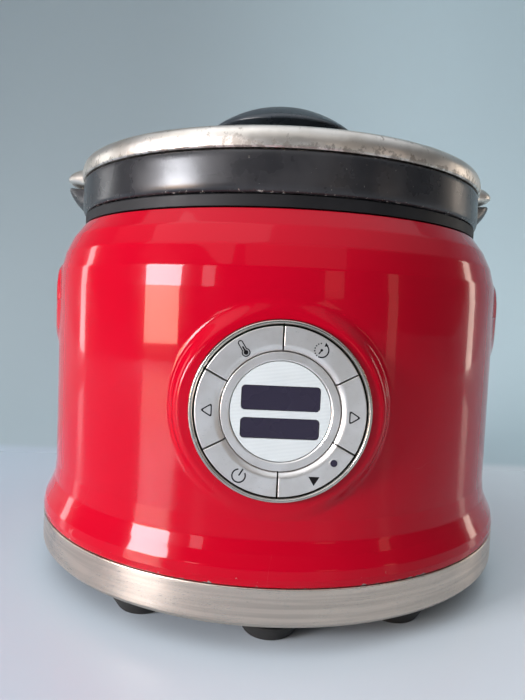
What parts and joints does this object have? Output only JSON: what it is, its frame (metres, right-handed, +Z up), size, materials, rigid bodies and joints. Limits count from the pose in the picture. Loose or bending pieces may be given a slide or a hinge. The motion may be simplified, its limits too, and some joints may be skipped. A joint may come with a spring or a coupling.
{
  "type": "electric multi-cooker",
  "caption": "Round countertop electric cooker with an enamelled housing, a control dial with push buttons, a lift-out pot with pouring lips and a domed glass lid.",
  "frame": {"origin": "on the floor, under the centre of the round body", "axes": "+Z up, -Y towards the control dial, +X to the right hand grip as seen from the front"},
  "size_m": [0.2906, 0.2906, 0.2877],
  "materials": {
    "red_enamel": "glossy red enamel over steel",
    "brushed_steel": "brushed round the body",
    "polished_steel": "polished stainless steel",
    "black_plastic": "moulded black",
    "rubber": "matt black rubber",
    "aluminium": "satin",
    "circuit_board": "green lacquer",
    "brass": "plain",
    "silver_plastic": "brushed silver caps",
    "display_plate": "pale silver with fine lines",
    "lcd": "dark display window, switched off",
    "pot_coating": "satin black non-stick coating on cast aluminium",
    "glass": "clear tempered glass",
    "knob_plastic": "smooth black phenolic"
  },
  "bodies": {
    "housing": {"housing_shell": "red_enamel", "grip_cup_right": "brushed_steel", "grip_cup_left": "brushed_steel", "base_band": "brushed_steel", "bottom_cover": "black_plastic", "foot_1": "rubber", "foot_2": "rubber", "foot_3": "rubber", "foot_4": "rubber", "foot_5": "rubber", "foot_6": "rubber", "foot_7": "rubber", "foot_8": "rubber", "base_screw_1": "brushed_steel", "base_screw_2": "brushed_steel", "base_screw_3": "brushed_steel", "base_screw_4": "brushed_steel", "top_ring": "black_plastic", "heat_well": "aluminium", "heat_shield": "brushed_steel", "heater_plate": "aluminium", "heating_element": "brushed_steel", "sensor_guide": "aluminium", "sensor_spring": "brushed_steel", "power_board": "circuit_board", "relay": "black_plastic", "transformer": "brass", "capacitor": "black_plastic", "power_inlet": "black_plastic", "inlet_pin_live": "brass", "inlet_pin_neutral": "brass", "inlet_pin_earth": "brass", "dial_bezel": "polished_steel", "control_housing": "black_plastic", "control_board": "circuit_board", "keypad_mat": "rubber", "display_module": "black_plastic", "display_ring": "silver_plastic", "display_plate": "display_plate", "lcd_upper": "lcd", "lcd_lower": "lcd"},
    "sensor": {"sensor_cap": "aluminium"},
    "temperature_button": {"button_temperature": "silver_plastic"},
    "timer_button": {"button_timer": "silver_plastic"},
    "right_button": {"button_right": "silver_plastic"},
    "down_button": {"button_down": "silver_plastic"},
    "power_button": {"button_power": "silver_plastic"},
    "left_button": {"button_left": "silver_plastic"},
    "pot": {"cooking_pot": "pot_coating"},
    "lid": {"lid_glass": "glass", "lid_rim": "polished_steel", "lid_knob": "knob_plastic", "knob_ferrule": "polished_steel", "knob_washer": "rubber", "knob_screw": "brushed_steel", "steam_vent": "polished_steel"}
  },
  "joints": [
    {"name": "pot_lift", "type": "slide", "parent": "housing", "child": "pot", "axis": [0, 0, 1], "range_m": [0, 0.15]},
    {"name": "lid_lift", "type": "slide", "parent": "pot", "child": "lid", "axis": [0, 0, 1], "range_m": [0, 0.12]},
    {"name": "sensor_press", "type": "slide", "parent": "housing", "child": "sensor", "axis": [0, 0, -1], "range_m": [0, 0.0025], "stiffness_N_per_m": 300, "springref_m": -0.002, "deforming": ["sensor_spring"]},
    {"name": "temperature_press", "type": "slide", "parent": "housing", "child": "temperature_button", "axis": [0, 1, 0], "range_m": [0, 0.0008], "stiffness_N_per_m": 400},
    {"name": "timer_press", "type": "slide", "parent": "housing", "child": "timer_button", "axis": [0, 1, 0], "range_m": [0, 0.0008], "stiffness_N_per_m": 400},
    {"name": "right_press", "type": "slide", "parent": "housing", "child": "right_button", "axis": [0, 1, 0], "range_m": [0, 0.0008], "stiffness_N_per_m": 400},
    {"name": "down_press", "type": "slide", "parent": "housing", "child": "down_button", "axis": [0, 1, 0], "range_m": [0, 0.0008], "stiffness_N_per_m": 400},
    {"name": "power_press", "type": "slide", "parent": "housing", "child": "power_button", "axis": [0, 1, 0], "range_m": [0, 0.0008], "stiffness_N_per_m": 400},
    {"name": "left_press", "type": "slide", "parent": "housing", "child": "left_button", "axis": [0, 1, 0], "range_m": [0, 0.0008], "stiffness_N_per_m": 400}
  ]
}
